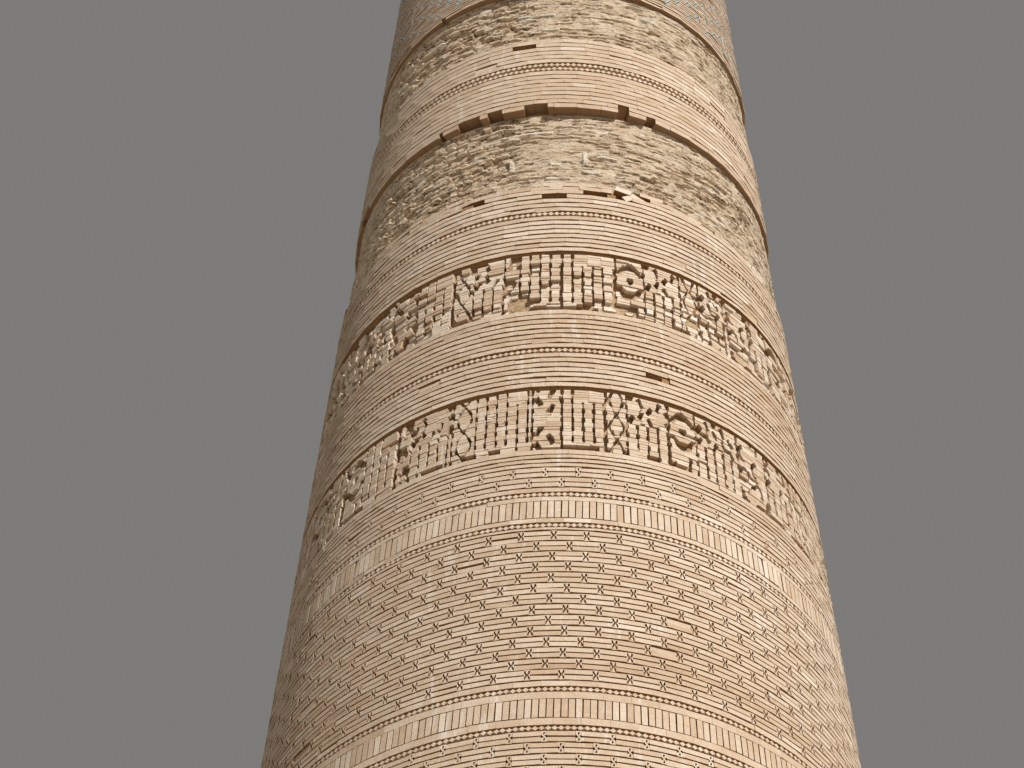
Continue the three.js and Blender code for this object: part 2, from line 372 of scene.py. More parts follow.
def lay_run(heap, rng, start, end, low, high, depth=BRICK_DEPTH, spread=0.0007, slip=0.0):
    """Bricks of one course between start and end angles. slip sets them back from the face."""
    count = len(start)
    middle = (low + high) / 2
    angles = np.stack([start, end, end, start], axis=1)
    levels = np.tile([low, low, high, high], (count, 1)) + sag(angles, middle)
    levels += rng.normal(0, 0.0004, (count, 4))
    face = worn_face(rng, count, spread) - slip
    lay_blocks(heap, angles, levels, face, depth, brick_tone(rng, count))


def within(angle, start, end):
    """Where an angle lies between start and end, going round the tower."""
    return np.mod(angle - start, FULL_TURN) < np.mod(end - start, FULL_TURN)


def lay_course(heap, rng, low, high, pitch=BRICK_PITCH, gap=HEAD_JOINT, shift=None, pockets=()):
    """One course: bricks at equal steps round the tower, with a head joint between each two. A pocket
    (start, end, low, high) is where bricks are missing, and a joint falls on its start."""
    middle = (low + high) / 2
    radius = wall_radius(middle)
    count = round(FULL_TURN * radius / pitch)
    step = FULL_TURN / count
    here = [pocket for pocket in pockets if pocket[2] < middle < pocket[3]]
    if shift is None:
        shift = here[0][0] / step if here else rng.random()
    edges = (np.arange(count) + shift) * step
    start = edges + gap / radius / 2
    end = edges + step - gap / radius / 2
    keep = np.ones(count, dtype=bool)
    for pocket_start, pocket_end, _, _ in here:
        keep &= ~within((start + end) / 2, pocket_start, pocket_end)
    lay_run(heap, rng, start[keep], end[keep], low, high)


# Cut bricks, as outlines from -1 to 1, anticlockwise
DIAMOND = np.array([[0.0, -1.0], [1.0, 0.0], [0.0, 1.0], [-1.0, 0.0]])
HIGH_WEDGE = np.array([[0.0, 0.14], [0.42, 0.56], [0.46, 0.84], [1.0, 0.88], [1.0, 1.0],
                       [-1.0, 1.0], [-1.0, 0.88], [-0.46, 0.84], [-0.42, 0.56]])
LOW_WEDGE = -HIGH_WEDGE
RIGHT_WEDGE = np.array([[0.44, 0.0], [1.0, -0.46], [1.0, 0.46]])
LEFT_WEDGE = -RIGHT_WEDGE
S_HOOK = np.array([
    [1.0, 1.0], [-1.0, 1.0], [-1.0, 0.38], [0.28, -0.36], [0.28, -0.80], [-0.36, -0.80], [-0.36, -0.66],
    [0.0, -0.34], [-0.20, -0.14], [-1.0, -0.38], [-1.0, -1.0], [1.0, -1.0], [1.0, -0.38], [-0.28, 0.36],
    [-0.28, 0.80], [0.36, 0.80], [0.36, 0.66], [0.0, 0.34], [0.20, 0.14], [1.0, 0.38],
])
X_PLUG = (HIGH_WEDGE, LOW_WEDGE, LEFT_WEDGE, RIGHT_WEDGE)
S_PLUG = (S_HOOK,)
SMALL_PLUG = (DIAMOND,)
TILE_PLUG = (
    np.array([[0.0, 0.04], [0.92, 1.0], [-0.92, 1.0]]),
    np.array([[0.0, -0.04], [-0.92, -1.0], [0.92, -1.0]]),
    np.array([[0.20, 0.0], [1.0, -0.76], [1.0, 0.76]]),
    np.array([[-0.20, 0.0], [-1.0, 0.76], [-1.0, -0.76]]),
)


def lay_cut_bricks(heap, outline, centre, level, half_width, half_height, face, depth, tone, deep_shade=1.0):
    """Small cut bricks as closed prisms. The outline is scaled to half the width and height, bent round
    the wall about each centre, and pushed back by depth. Its faces are the front, the back, and one side
    for each edge."""
    count = len(centre)
    corners = len(outline)
    radius = wall_radius(level)
    angles = centre[:, None] + outline[None, :, 0] * half_width / radius
    levels = level + outline[None, :, 1] * half_height
    front = wall_radius(levels) + face[:, None]
    points = front_and_back(angles, levels, front, front - depth)
    first = (2 * corners * np.arange(count))[:, None]
    ring = np.arange(corners)
    after = (ring + 1) % corners
    sides = np.stack([ring + corners, after + corners, after, ring], axis=1)
    faces = [
        first + ring[None],
        first + (ring[::-1] + corners)[None],
        (first[:, :, None] + sides[None]).reshape(-1, 4),
    ]
    # Painted shade: none on the front, the deep value on the back, so the sides darken inwards
    painted_shade = np.tile(np.repeat([0, deep_shade], corners), count)
    heap.add(points, faces, np.repeat(np.broadcast_to(tone, count), 2 * corners), painted_shade)


def plug_row(heap, rng, low, high, shift, outlines, pitch=PLUG_PITCH, gap=PLUG_GAP, glazed=None, courses=2,
             inner=0.8):
    """Courses laid as one row, with a cut plug that spans them in each gap between brick ends. The
    joints inside the row are inner times as wide as those around it. Glazed plugs go into a heap of
    their own and take any tone."""
    middle = (low + high) / 2
    bed = bed_joint(middle) / 2
    around = FULL_TURN * wall_radius(middle)
    count = round(around / pitch)
    edges = np.linspace(low, high, courses + 1)
    beds = np.append(bed, np.full(courses - 1, bed * inner))
    for i in range(courses):
        base = edges[i] + beds[i]
        top = edges[i + 1] - beds[courses - 1 - i]
        lay_course(heap, rng, base, top, around / count, gap, shift)
    centre = (np.arange(count) + shift) * FULL_TURN / count + rng.normal(0, 0.0008, count)
    tone = rng.uniform(0, 1, count) if glazed else np.clip(brick_tone(rng, count) + 0.03, 0, 1)
    face = np.clip(rng.normal(-0.002, 0.001, count), -0.006, 0)
    level = middle + sag(centre, middle)[:, None]
    size = (gap / 2, (high - low) * PLUG_SHARE)
    for outline in outlines:
        lay_cut_bricks(glazed or heap, outline, centre, level, *size, face, PLUG_DEPTH, tone)


def tooth_row(heap, rng, level, shift=0.0):
    """A row of small bricks set on point, side by side in a recessed course."""
    radius = wall_radius(level)
    count = round(FULL_TURN * radius / TOOTH_PITCH)
    centre = (np.arange(count) + shift) * FULL_TURN / count + rng.normal(0, 0.0005, count)
    levels = level - 0.0010 + sag(centre, level)[:, None] + rng.normal(0, 0.0006, count)[:, None]
    face = np.clip(rng.normal(-0.002, 0.0008, count), -0.005, 0)
    tone = np.clip(brick_tone(rng, count) + 0.08, 0, 1)
    size = (TOOTH_PITCH / 2, TOOTH_HALF_HEIGHT)
    lay_cut_bricks(heap, DIAMOND, centre, levels, *size, face, TOOTH_DEPTH, tone, TOOTH_SIDE_SHADE)


def soldier_row(heap, rng, low, high):
    """Upright bricks side by side. Their tops lean by a slow wave round the tower."""
    middle = (low + high) / 2
    radius = wall_radius(middle)
    count = round(FULL_TURN * radius / SOLDIER_PITCH)
    step = FULL_TURN / count
    start = (np.arange(count) + rng.uniform(-0.02, 0.02, count)) * step
    width = step - SOLDIER_JOINT / radius - np.abs(rng.normal(0, 0.015, count)) * step
    lean = (0.003 * np.sin(2 * start + 2.2) + rng.normal(0, 0.0006, count)) / radius
    angles = np.stack([start, start + width, start + width + lean, start + lean], axis=1)
    base = low + rng.normal(0, 0.0009, count)
    top = high + rng.normal(0, 0.0009, count)
    levels = np.stack([base, base, top, top], axis=1) + sag(angles, middle)
    tone = np.clip(brick_tone(rng, count) + rng.normal(0.03, 0.06, count), 0, 1)
    lay_blocks(heap, angles, levels, worn_face(rng, count, 0.0010), BRICK_DEPTH, tone)


def with_void(values, at_top, at_foot, columns):
    """A row of values for each level of the outside, and then one each for the void's top and foot."""
    outside = np.broadcast_to(values, (len(values), columns))
    return np.concatenate([outside, np.full((1, columns), at_top), np.full((1, columns), at_foot)])


def hollow_shell(heap, angles, levels, outer, tone, painted_shade):
    """A closed ring: a row of points for each level at outer[row, column] up the outside, and two rows
    down the void. The last row joins the first, and the last column joins the first."""
    columns = len(angles)
    high, low = levels[-1], levels[0]
    radii = with_void(outer, void_radius(high), void_radius(low), columns)
    heights = with_void(np.reshape(levels, (-1, 1)), high, low, columns)
    points = on_ring(np.broadcast_to(angles, radii.shape), radii, heights)
    row = np.arange(len(radii))[:, None] * columns
    up = np.roll(row, -1)
    column = np.arange(columns)[None]
    right = np.roll(column, -1)
    quads = np.stack([row + column, row + right, up + right, up + column], axis=-1)
    heap.add(points, [quads.reshape(-1, 4)], tone.ravel(), painted_shade.ravel())


def mortar_shell(name, material, *, grooves=(), pockets=(), depth=JOINT_DEPTH):
    """The wall behind the bricks, which stands for the CAD node. Its face lies depth behind them, deeper
    in grooves (low, high, depth) that run all round, and in pockets (start, end, low, high). Each stretch
    between two levels is a row pair of one depth, and a short slope joins two pairs.
    Tone is 1 in the grooves, where the ground is lighter."""
    low, high = level_range(name)
    limits = [low, high]
    for groove_low, groove_high, _ in grooves:
        limits += [groove_low, groove_high]
    for _, _, pocket_low, pocket_high in pockets:
        limits += [pocket_low, pocket_high]
    limits = np.unique(np.round(np.clip(limits, low, high), 4))
    angles = np.arange(SHELL_SIDES) * FULL_TURN / SHELL_SIDES
    for start, end, _, _ in pockets:
        angles = np.append(angles, [start - STEP_SLOPE, start, end, end + STEP_SLOPE])
    angles = np.unique(np.round(angles % FULL_TURN, 6))
    levels = []
    radii = []
    tones = []
    for base, top in zip(limits[:-1], limits[1:]):
        middle = (base + top) / 2
        behind = np.full(len(angles), depth)
        tone = 0.0
        for groove_low, groove_high, groove_depth in grooves:
            if groove_low < middle < groove_high:
                behind = np.maximum(behind, groove_depth)
                tone = 1.0
        for start, end, pocket_low, pocket_high in pockets:
            if pocket_low < middle < pocket_high:
                in_pocket = within(angles, start - STEP_SLOPE / 2, end + STEP_SLOPE / 2)
                behind = np.where(in_pocket, POCKET_DEPTH, behind)
        for level in (base + STEP_SLOPE * (base > low), top - STEP_SLOPE * (top < high)):
            levels.append(level)
            radii.append(wall_radius(level) - behind)
            tones.append(tone)
    tones = with_void(np.reshape(tones, (-1, 1)), 0.0, 0.0, len(angles))
    heap = Heap()
    hollow_shell(heap, angles, levels, np.array(radii), tones, 0 * tones)
    heap.piece(name + "_wall", material, "brick", name)


def open_drum(name):
    """What a drum starts from: a random generator of its own, its two levels and an empty heap."""
    return chance(name), *level_range(name), Heap()


def close_drum(name, heap, slot="brick", **wall):
    """Makes the heap the drum's bricks, and puts the mortar wall behind them."""
    heap.piece(name + "_bricks", BRICK, slot)
    mortar_shell(name, MORTAR, **wall)


def coursed_rows(low, high):
    """Levels, depths, painted shade and course numbers of a face built in courses: two rows at each brick's
    edges and one deep in the joint between two courses, where the painted shade is 1."""
    count = round((high - low) / COURSE)
    pitch = (high - low) / count
    number = round(low / COURSE)
    rows = [(low, JOINT_DEPTH, 1.0, number)]
    for i in range(count):
        base = low + i * pitch
        rows += [
            (base + BED_JOINT / 2, 0.0, 0.0, number + i),
            (base + pitch - BED_JOINT / 2, 0.0, 0.0, number + i),
            (base + pitch, JOINT_DEPTH, 1.0, number + i + 0.5),
        ]
    return np.array(rows).T


def coursed_shell(name, courses_top=None):
    """A drum as one ring, with a groove at each bed joint. Above courses_top, where real bricks stand
    before it, its face lies a joint's depth back."""
    low, high = level_range(name)
    levels, depths, painted_shades, numbers = coursed_rows(low, courses_top or high)
    if courses_top:
        levels = np.append(levels, high)
        depths = np.append(depths, JOINT_DEPTH)
        painted_shades = np.append(painted_shades, 1.0)
        numbers = np.append(numbers, round(high / COURSE))
    angles = np.arange(COURSED_SIDES) * FULL_TURN / COURSED_SIDES
    uneven = 0.0012 * (smooth_noise(angles[None], levels[:, None], 42, 9) - 1)
    outer = (wall_radius(levels) - depths)[:, None] + uneven
    tones = with_void(numbers[:, None], numbers[-1], numbers[0], COURSED_SIDES)
    heap = Heap()
    hollow_shell(heap, angles, levels, outer, tones, with_void(painted_shades[:, None], 0, 0, COURSED_SIDES))
    heap.piece(name + "_courses", COURSED, "brick", name)


def plain_courses(heap, rng, low, high, toothed=(), pockets=()):
    """Equal courses between two levels. Those whose number is in toothed are left for a toothed row.
    Gives back the grooves that the toothed rows stand in."""
    count = round((high - low) / COURSE)
    pitch = (high - low) / count
    grooves = []
    for i in range(count):
        base = low + i * pitch
        bed = bed_joint(base) / 2
        if i in toothed:
            tooth_row(heap, rng, base + pitch / 2, 0.5 * (i % 2))
            grooves.append((base, base + pitch, TOOTH_DEPTH))
        else:
            lay_course(heap, rng, base + bed, base + pitch - bed, pockets=pockets)
    return grooves


def soldier_band(name):
    """A toothed row, a plain course, upright bricks, a plain course and a toothed row."""
    rng, low, high, heap = open_drum(name)
    margin = (high - low - SOLDIER_HEIGHT) / 2
    groove = min(COURSE, margin * 0.5)
    tooth_row(heap, rng, low + groove / 2)
    lay_course(heap, rng, low + groove + EDGE_GAP, low + margin - SOLDIER_JOINT)
    soldier_row(heap, rng, low + margin, high - margin)
    lay_course(heap, rng, high - margin + SOLDIER_JOINT, high - groove - EDGE_GAP)
    tooth_row(heap, rng, high - groove / 2, 0.5)
    grooves = [(low, low + groove, TOOTH_DEPTH), (high - groove, high, TOOTH_DEPTH)]
    close_drum(name, heap, "band_brick", grooves=grooves)


def diaper_drum():
    """A plain course, rows of X-shaped plugs, each row shifted half a step, and a thin course."""
    rng, low, high, heap = open_drum("diaper_drum")
    first = low + DIAPER_FOOT
    lay_course(heap, rng, low + EDGE_GAP, first - BED_JOINT / 2)
    for i in range(DIAPER_ROWS):
        base = first + i * DIAPER_ROW
        plug_row(heap, rng, base, base + DIAPER_ROW, 0.5 * (i % 2) + 0.02 * i, X_PLUG)
    lay_course(heap, rng, first + DIAPER_ROWS * DIAPER_ROW + BED_JOINT / 2, high - EDGE_GAP)
    close_drum("diaper_drum", heap)


def plug_courses():
    """A plain course, two rows of S-shaped plugs, and three plain courses."""
    rng, low, high, heap = open_drum("plug_courses")
    first = low + HOOK_FOOT
    second = first + HOOK_ROW
    lay_course(heap, rng, low + EDGE_GAP, first - BED_JOINT / 2)
    plug_row(heap, rng, first, second, 0.0, S_PLUG)
    plug_row(heap, rng, second, first + 2 * HOOK_ROW, 0.5, S_PLUG)
    plain_courses(heap, rng, first + 2 * HOOK_ROW, high)
    close_drum("plug_courses", heap)


def lower_drum(name, plug_rows, outlines):
    """A drum of the lower shaft: grooved courses, and rows of plugs under its top."""
    rng, low, high, heap = open_drum(name)
    pitch = 2 * (high - low) / round((high - low) / COURSE)
    first = high - plug_rows * pitch
    for i in range(plug_rows):
        base = first + i * pitch
        plug_row(heap, rng, base, base + pitch, 0.5 * (i % 2), outlines)
    heap.piece(name + "_plugs", BRICK, "brick")
    coursed_shell(name, first)


def plain_drum_low():
    """Fifteen courses with one toothed row and one missing brick."""
    rng, low, high, heap = open_drum("plain_drum_low")
    pockets = [(0.318, 0.386, 19.82, 19.86)]
    grooves = plain_courses(heap, rng, low, high, (7,), pockets)
    close_drum("plain_drum_low", heap, grooves=grooves, pockets=pockets)


# Bricks that lie askew where the facing broke off: angle, courses below the top edge, turn, face.
LOOSE_BRICKS = (
    (0.268, 0.8, -0.25, -0.002),
    (0.300, 2.0, 0.60, -0.006),
    (0.338, 1.6, -0.50, -0.014),
    (-0.700, 1.1, -0.42, -0.010),
    (2.400, 1.2, 0.38, -0.010),
)


def turned_block(half_length, half_height, turn):
    """Corners of an oblong turned about its middle, in metres."""
    corners = np.array([[1, 1], [-1, 1], [-1, -1], [1, -1]]) * (half_length, half_height)
    sine, cosine = math.sin(turn), math.cos(turn)
    return corners @ np.array([[cosine, sine], [-sine, cosine]])


def thinned_course(heap, rng, base, pitch, wear, lost_from, lost_to):
    """A course of bricks of uneven length at a broken top edge. Bricks are lost where slow noise is high,
    and between two angles. The greater the wear, the more are lost and the further the rest slip back."""
    middle = base + pitch / 2
    bed = bed_joint(base) / 2
    count = round(FULL_TURN * wall_radius(middle) / (BRICK_PITCH * 0.8))
    start = np.sort(rng.uniform(0, FULL_TURN, 4 * count))[::4]
    end = np.append(start[1:], start[0] + FULL_TURN) - HEAD_JOINT
    centre = (start + end) / 2
    keep = smooth_noise(centre, middle, 22, 5, 4) < 0.95 - 0.28 * wear
    keep &= ~within(centre, lost_from, lost_to)
    slip = rng.uniform(0, 0.004 * wear, (keep.sum(), 1))
    top = base + pitch - bed
    lay_run(heap, rng, start[keep], end[keep], base + bed, top, POCKET_DEPTH, 0.003, slip)


def plain_drum_high():
    """Sixteen courses with one toothed row, missing bricks, and a top edge where the facing has broken
    away, with a few bricks lying askew on it."""
    rng, low, high, heap = open_drum("plain_drum_high")
    pitch = (high - low) / 16
    break_start, break_end = 0.235, 0.345
    pockets = [
        (-0.089, 0.014, high - 4 * pitch, high - 3 * pitch),
        (0.090, 0.197, high - 3 * pitch, high - 2 * pitch),
        (-0.400, -0.330, high - 3 * pitch, high - 2 * pitch),
        (break_start, break_end, high - 3 * pitch, high),
    ]
    grooves = plain_courses(heap, rng, low, high - 2 * pitch, (8,), pockets)
    for wear in (1, 2):
        thinned_course(heap, rng, high - (3 - wear) * pitch, pitch, wear, break_start, break_end)
    for place, courses_down, turn, face in LOOSE_BRICKS:
        outline = turned_block(LOOSE_HALF_LENGTH, COURSE / 2, turn)
        where = (np.array([place]), np.array([[high - courses_down * pitch]]))
        lay_cut_bricks(heap, outline, *where, 1, 1, np.array([face]), BRICK_DEPTH, LOOSE_TONE)
    grooves.append((high - 2 * pitch, high, POCKET_DEPTH - 0.004))
    close_drum("plain_drum_high", heap, grooves=grooves, pockets=pockets)


def broken_course(heap, rng, low, high, gaps, lost=0.32):
    """A course at a broken lower edge: bricks deep enough to reach the core, whose undersides show. The
    seen side has the given gaps, and chance ones follow round the back where slow noise is under lost."""
    middle = (low + high) / 2
    radius = wall_radius(middle)
    count = round(FULL_TURN * radius / BRICK_PITCH)
    jitter = np.append(0, np.cumsum(rng.normal(0, 0.015, count)))
    edges = (np.arange(count + 1) + jitter) * FULL_TURN / count - SEEN_HALF
    edges[-1] = FULL_TURN - SEEN_HALF
    for start, end in gaps:
        edges = edges[(edges < start - SHORTEST_LEFT) | (edges > end + SHORTEST_LEFT)]
        edges = np.append(edges, [start, end])
    edges = np.sort(edges)
    start = edges[:-1] + HEAD_JOINT / radius
    end = edges[1:] - HEAD_JOINT / radius
    centre = (start + end) / 2
    keep = (centre < SEEN_HALF) | (smooth_noise(centre, low, 26, 3, 8) > lost)
    for gap_start, gap_end in gaps:
        keep &= ~((centre > gap_start) & (centre < gap_end))
    slip = np.abs(rng.normal(0, 0.0009, (keep.sum(), 1)))
    lay_run(heap, rng, start[keep], end[keep], low, high, OVERHANG + 0.006, 0.0012, slip)


def toothed_drum():
    """Courses with a double toothed row over the fallen stretch: missing bricks high up, and a lower
    edge that has lost bricks, where the undersides of the rest stand out over the core."""
    rng, low, high, heap = open_drum("toothed_drum")
    pitch = (high - low) / 17
    first_full = low + 2 * pitch
    bed = bed_joint(low) / 2
    pockets = [(-0.254, -0.129, high - 2 * pitch, high - pitch)]
    gaps = [
        (-0.624, -0.602), (-0.517, -0.401), (-0.3625, -0.289),
        (-0.182, -0.0705), (0.264, 0.318), (0.405, 0.452),
    ]
    edge = Heap()
    broken_course(edge, rng, low + 0.001, low + pitch - bed, gaps)
    broken_course(edge, rng, low + pitch + bed, first_full - bed, [(0.264, 0.318)], 0.1)
    edge.piece("toothed_drum_edge", EDGE_BRICK, "brick")
    grooves = plain_courses(heap, rng, first_full, high, (7, 8), pockets)
    grooves.append((low, first_full, OVERHANG))
    close_drum("toothed_drum", heap, grooves=grooves, pockets=pockets)


def tile_inlay_drum():
    """Thin courses laid by threes. Each gap between brick ends holds a knot of four glazed pieces that
    leave a dark cross between them. The knots of each row stand over the middles of the row below."""
    rng, low, high, heap = open_drum("tile_inlay_drum")
    rows = round((high - low) / TILE_ROW)
    row_height = (high - low) / rows
    pitch = row_height / TILE_COURSES
    bed = bed_joint(low) / 2
    edge = Heap()
    broken_course(edge, rng, low + 0.001, low + pitch - bed, [(-0.71, -0.68), (0.30, 0.325)], 0.16)
    edge.piece("tile_inlay_drum_edge", EDGE_BRICK, "band_brick")
    glazed = Heap()
    for course in range(1, TILE_COURSES):
        lay_course(heap, rng, low + course * pitch + bed * TILE_BED, low + (course + 1) * pitch - bed)
    for row in range(1, rows):
        base = low + row * row_height
        top = base + row_height
        between = FULL_TURN * wall_radius((base + top) / 2) / TILE_PLUGS
        shift = 0.5 * (row % 2) - 0.5
        plug_row(heap, rng, base, top, shift, TILE_PLUG, between, TILE_GAP, glazed, TILE_COURSES, TILE_BED)
    heap.piece("tile_inlay_drum_bricks", ROSE_BRICK, "band_brick")
    glazed.piece("tile_inlay_drum_glaze", GLAZE, "band_brick")
    mortar_shell("tile_inlay_drum", MORTAR, grooves=[(low, low + pitch, OVERHANG)])


def brick_cells(x, y, width, height):
    """The column and row of the cell of a brick-like grid that a point lies in, and its place across and
    up the cell, from -0.5 to 0.5. Every second column stands half a cell lower."""
    across = x / width
    column = np.floor(across)
    along = y / height + 0.5 * np.mod(column, 2)
    row = np.floor(along)
    return column, row, across - column - 0.5, along - row - 0.5


def slits(x, y, height, key):
    """Distance to a row of upright slits, which end low or high by chance."""
    pitch = 0.053
    bar = np.floor(x / pitch + 0.5)
    foot = np.where(hashed(bar, key, 1) < 0.5, 0.10, 0.20) * height
    head = np.where(hashed(bar, key, 2) < 0.55, 1.1, 0.80) * height
    across = np.abs(np.mod(x + pitch / 2, pitch) - pitch / 2)
    return np.hypot(across, np.maximum(0, np.maximum(foot - y, y - head)))


def small_wedges(x, rise, cell, key):
    """Distance to small wedges, one in nearly each cell. A wedge is where the distance across plus the
    distance up, sheared by a chance lean, is under a quarter of the cell."""
    column, row, in_x, in_y = brick_cells(x, rise, cell, cell)
    lean = np.where(hashed(column, row, key + 3) < 0.5, 0.6, -0.6)
    empty = EMPTY_CELL * (hashed(column, row, key) < 0.16)
    return (np.abs(in_x) + np.abs(in_y + lean * in_x) - 0.25) * 0.7 * cell + empty


def wedge_panel(x, rise, width, room, key):
    """Small wedges all over."""
    return small_wedges(x, rise, 0.062, key)


def slit_panel(x, rise, width, room, key):
    """Upright slits, some of them under small wedges."""
    crowned = (rise > 0.56 * room) & (hashed(key, 9) < 0.55)
    uprights = slits(x, rise / RELIEF_STRETCH, room / RELIEF_STRETCH, key)
    return np.where(crowned, small_wedges(x, rise, 0.048, key), uprights)


def eye_panel(x, rise, width, room, key):
    """Two crescents round an eye, over a low hook. A crescent is a ring that thins towards the eye's own
    level, and the hook is a ring cut off above a slope."""
    across = x - width / 2
    up = rise - 0.66 * room
    ring = np.hypot(across, up)
    steepness = np.abs(up) / np.maximum(ring, 0.001)
    crescents = np.maximum(np.abs(ring - 0.062) - 0.009 * steepness, 0.10 * (0.42 - steepness))
    hook_up = rise - 0.22 * room
    hook_ring = np.abs(np.hypot(across + 0.012, hook_up) - 0.044) - 0.004
    hook = np.maximum(hook_ring, hook_up - 0.4 * across)
    return np.minimum(np.minimum(crescents, ring - 0.012), hook)


def wave_panel(x, rise, width, room, key):
    """Two sine waves up the panel, which mirror and cross each other."""
    across = x - width / 2
    bend = 0.30 * width * np.sin(2.5 * math.pi * rise / room + key)
    return np.minimum(np.abs(across - bend), np.abs(across + bend)) - 0.001


def moon_panel(x, rise, width, room, key):
    """Three half moons, set left and right in turn: each a disc less a lower disc."""
    step = room / 3
    place = rise - 0.10 * room
    up = np.mod(place, step) - 0.40 * step
    across = x - width / 2 + 0.010 * np.sign(np.mod(np.floor(place / step), 2) - 0.5)
    return np.maximum(np.hypot(across, up) - 0.027, 0.020 - np.hypot(across, up + 0.018))


def hook_panel(x, rise, width, room, key):
    """Half rings in nearly each cell, each open on a chance side."""
    column, row, in_x, in_y = brick_cells(x, rise, 0.080, 0.084)
    heading = hashed(column, row, key + 7) * FULL_TURN
    aside = -0.080 * (in_x * np.cos(heading) + in_y * np.sin(heading))
    empty = EMPTY_CELL * (hashed(column, row, key) < 0.12)
    return np.maximum(np.abs(0.082 * np.hypot(in_x, in_y) - 0.026) - 0.002, aside) + empty


# Kinds of frieze panel, each with its least and greatest width as shares of the frieze's height, and the
# kinds that chance picks from for every second panel
PANEL_KINDS = (
    (slit_panel, 0.28, 0.56), (eye_panel, 0.26, 0.31), (wave_panel, 0.20, 0.26),
    (moon_panel, 0.15, 0.18), (wedge_panel, 0.26, 0.34), (hook_panel, 0.26, 0.38),
)
PICKED_KINDS = (1, 5, 3, 2, 1, 4, 5, 1)


def relief_field(x, y, width, height, kind, key):
    """How far inside the raised brickwork a point of a frieze panel lies, in metres: the distance to the
    grooves of the panel's kind less half a groove. The panels are drawn at half height and stand twice as
    tall, as they are seen from far below."""
    rise = RELIEF_STRETCH * y
    room = RELIEF_STRETCH * height
    grooves = [draw(x, rise, width, room, key) for draw, _, _ in PANEL_KINDS]
    return np.choose(kind, grooves) - RELIEF_GROOVE


def frieze_panels(rng, length, height):
    """Panels of chance kinds and widths laid side by side, then stretched to close round the tower.
    Every second panel is one of upright slits. Gives their kinds, widths and edges."""
    kinds = []
    widths = []
    while sum(widths) < length - height / 3:
        kind = 0 if len(kinds) % 2 == 0 else int(rng.choice(PICKED_KINDS))
        kinds.append(kind)
        widths.append(height * rng.uniform(*PANEL_KINDS[kind][1:]))
    widths = np.array(widths) * length / sum(widths)
    return np.array(kinds), widths, np.concatenate([[0], np.cumsum(widths)])


def raised_stretches(field, arc, y):
    """Start and end of each raised stretch along one course that is not too short, and the slope of its
    two ends: minus the field's change upwards over its change sideways."""
    inside = field(arc, y) > 0
    change = np.flatnonzero(inside[1:] != inside[:-1])
    crossing = arc[change] + (arc[1] - arc[0]) / 2
    if inside[0]:
        crossing = np.append(crossing[1:], crossing[0] + arc[-1])
    crossing = crossing[: len(crossing) // 2 * 2]
    step = 0.004
    across = field(crossing + step, y) - field(crossing - step, y)
    along = field(crossing, y + step) - field(crossing, y - step)
    slope = np.clip(-along / np.where(np.abs(across) < 1e-4, 1e-4, across), -1.0, 1.0)
    found = np.stack([crossing[0::2], crossing[1::2], slope[0::2], slope[1::2]])
    return found[:, found[1] - found[0] > SHORTEST_CUT]


def split_stretches(start, end, start_slope, end_slope, half):
    """Stretches cut into bricks of about one length. Gives the left and right end of each brick, how far
    each end leans over half the brick's height, and which ends are free, as a stretch's own ends are."""
    parts = np.maximum(1, np.round((end - start) / CUT_LENGTH)).astype(int)
    owner = np.repeat(np.arange(len(start)), parts)
    number = np.arange(len(owner)) - np.repeat(np.cumsum(parts) - parts, parts)
    first = number == 0
    last = number == parts[owner] - 1
    share = (end - start)[owner] / parts[owner]
    left = start[owner] + number * share + ~first * HEAD_JOINT / 2
    right = start[owner] + (number + 1) * share - ~last * HEAD_JOINT / 2
    room = (right - left) * 0.35
    left_lean = np.clip(first * start_slope[owner] * half, -room, room)
    right_lean = np.clip(last * end_slope[owner] * half, -room, room)
    return left, right, left_lean, right_lean, first, last


